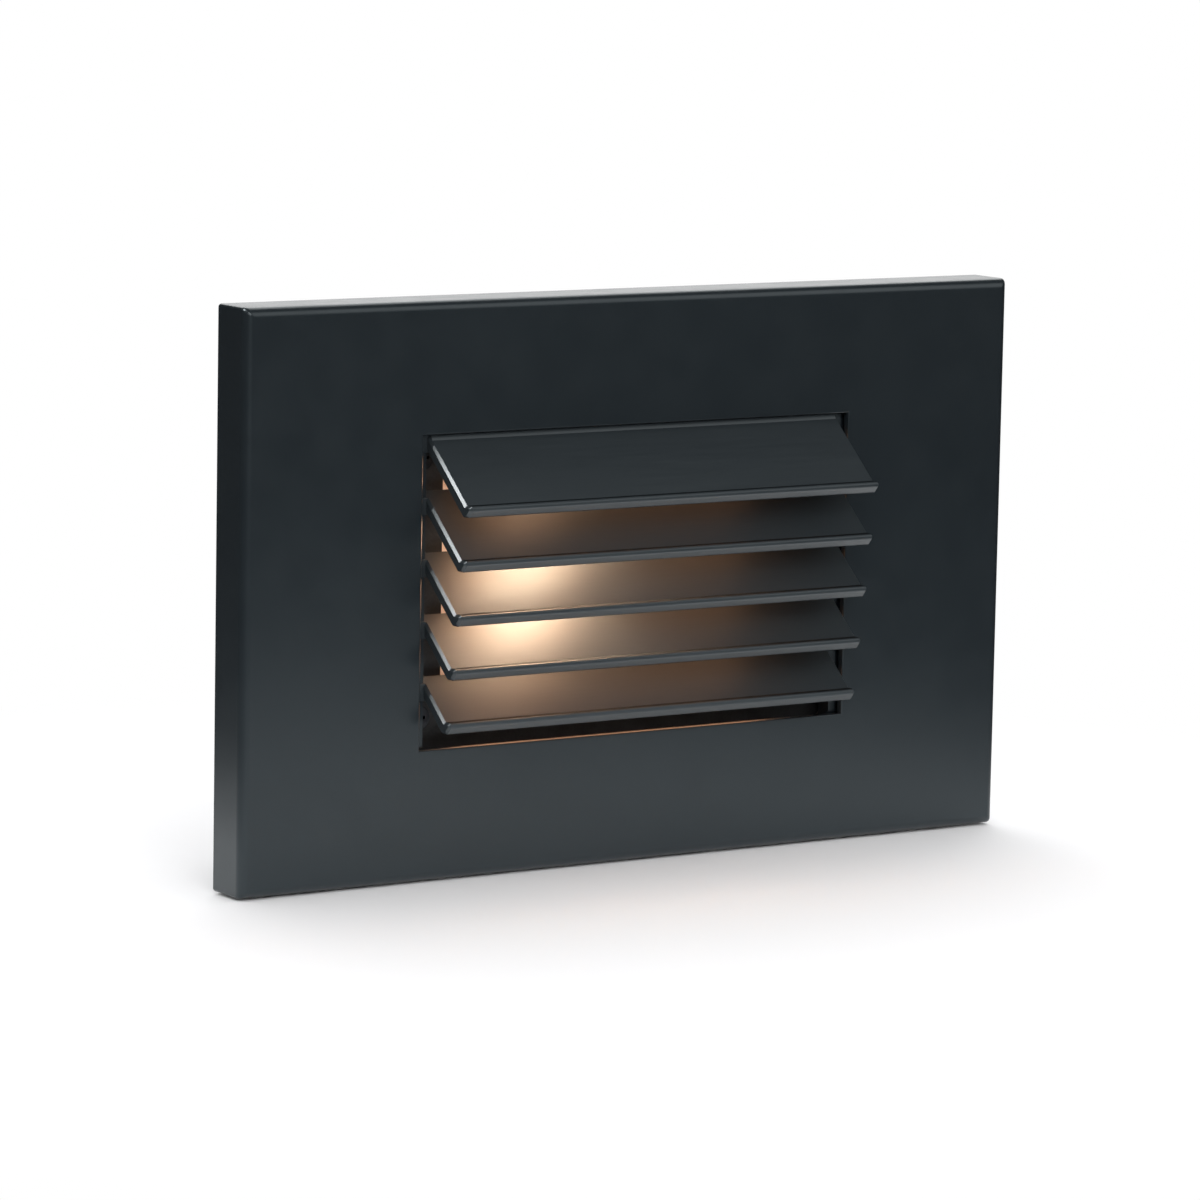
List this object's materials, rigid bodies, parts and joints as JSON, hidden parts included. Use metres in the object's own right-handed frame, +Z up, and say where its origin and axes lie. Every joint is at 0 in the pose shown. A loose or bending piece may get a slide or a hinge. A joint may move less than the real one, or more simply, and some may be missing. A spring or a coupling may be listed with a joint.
{
  "type": "step light",
  "caption": "Rectangular recessed wall and step light: dark faceplate with a central opening of angled, outward-stepping louvers over a frosted lens, on a box-mounted housing.",
  "frame": {"origin": "on the wall plane, midway between the two junction box screws", "axes": "+X to the right of someone facing the light, +Y into the wall, +Z up"},
  "size_m": [0.127, 0.0504, 0.08],
  "materials": {
    "dark_paint": "satin powder coat, near-black blue-green grey",
    "dark_steel": "blackened",
    "bright_steel": "zinc plated",
    "cast_aluminium": "bare die cast",
    "foam": "closed-cell foam",
    "silicone": "translucent white silicone",
    "bezel_paint": "matt black",
    "frosted_lens": "frosted, warm when lit",
    "white_plastic": "gloss white",
    "white_mask": "white solder mask on metal core",
    "phosphor": "warm white emitters",
    "thermal_grey": "soft grey pad",
    "black_plastic": "matt black",
    "green_board": "green solder mask",
    "ferrite": "dark ferrite with a yellow-taped winding",
    "can_sleeve": "sleeved aluminium can",
    "terminal_green": "green moulding",
    "black_rubber": "matt",
    "earth_green": "green passivated"
  },
  "bodies": {
    "housing": {"housing": "cast_aluminium", "wall_gasket": "foam", "junction_box_screws": "bright_steel", "lens_bezel": "bezel_paint", "lens_bezel_screws": "dark_steel", "lens": "frosted_lens", "lens_gasket": "silicone", "reflector": "white_plastic", "led_board": "white_mask", "led_chips": "phosphor", "thermal_pad": "thermal_grey", "led_board_screws": "bright_steel", "link_header": "black_plastic", "driver_board": "green_board", "driver_board_screws": "bright_steel", "driver_transformer": "ferrite", "driver_capacitors": "can_sleeve", "driver_inductor": "ferrite", "driver_chips": "black_plastic", "supply_terminal_block": "terminal_green", "rear_gasket": "black_rubber", "rear_cover": "cast_aluminium", "rear_cover_screws": "bright_steel", "cable_grommet": "black_rubber", "earth_screw": "earth_green"},
    "faceplate": {"faceplate": "dark_paint", "louver_frame": "dark_paint", "louver_blade_1": "dark_paint", "louver_blade_2": "dark_paint", "louver_blade_3": "dark_paint", "louver_blade_4": "dark_paint", "louver_blade_5": "dark_paint", "louver_screws": "dark_steel"},
    "set_screw_left": {"set_screw_left": "dark_steel"},
    "set_screw_right": {"set_screw_right": "dark_steel"}
  },
  "joints": [
    {"name": "faceplate_pull", "type": "slide", "parent": "housing", "child": "faceplate", "axis": [0, -1, 0], "range_m": [0, 0.03]},
    {"name": "set_screw_left_back_out", "type": "slide", "parent": "faceplate", "child": "set_screw_left", "axis": [0, 0, -1], "range_m": [0, 0.0015]},
    {"name": "set_screw_right_back_out", "type": "slide", "parent": "faceplate", "child": "set_screw_right", "axis": [0, 0, -1], "range_m": [0, 0.0015]}
  ]
}
